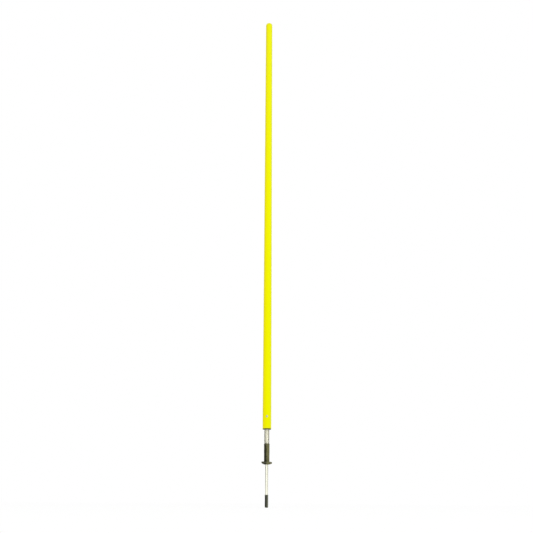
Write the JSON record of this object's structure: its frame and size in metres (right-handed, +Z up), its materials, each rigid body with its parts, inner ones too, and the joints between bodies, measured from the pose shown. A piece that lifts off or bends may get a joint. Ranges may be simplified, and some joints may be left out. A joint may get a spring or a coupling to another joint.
{
  "type": "slalom pole",
  "caption": "Upright yellow training pole on a coil-spring foot with a rubber boot and disc, a steel ground spike and a pull-off tip cap.",
  "frame": {"origin": "on the pole's axis at the ground line, the level of the rubber disc's flat underside", "axes": "+Z up along the pole, -Z down along the spike; -Y is the side with the rivet"},
  "size_m": [0.031, 0.031, 1.8292],
  "materials": {
    "yellow_tube": "smooth extruded, satin gloss",
    "yellow_cap": "moulded, semi-matt",
    "black_nylon": "moulded, fine matt",
    "spring_steel": "zinc-plated drawn wire",
    "zinc_steel": "bright zinc plate",
    "rivet_aluminium": "plain, slightly dull",
    "black_rubber": "moulded, dusty matt",
    "black_vinyl": "dipped, dull satin"
  },
  "bodies": {
    "foot": {"ground_spike": "zinc_steel", "stop_collar": "zinc_steel", "rubber_boot": "black_rubber"},
    "spring": {"bend_spring": "spring_steel"},
    "pole": {"pole_tube": "yellow_tube", "top_cap": "yellow_cap", "spring_plug": "black_nylon", "spring_bolt": "zinc_steel", "rivet_body": "rivet_aluminium", "rivet_mandrel": "zinc_steel"},
    "cap": {"tip_cap": "black_vinyl"}
  },
  "joints": [
    {"name": "spring_bend_forward", "type": "hinge", "parent": "foot", "child": "spring", "pos_m": [0, 0, 0.067], "axis": [1, 0, 0], "range_deg": [-90, 90], "stiffness_Nm_per_rad": 8, "deforming": ["bend_spring"]},
    {"name": "spring_bend_sideways", "type": "hinge", "parent": "spring", "child": "pole", "pos_m": [0, 0, 0.087], "axis": [0, 1, 0], "range_deg": [-90, 90], "stiffness_Nm_per_rad": 8},
    {"name": "tip_cap_pull", "type": "slide", "parent": "foot", "child": "cap", "axis": [0, 0, -1], "range_m": [0, 0.045]}
  ]
}
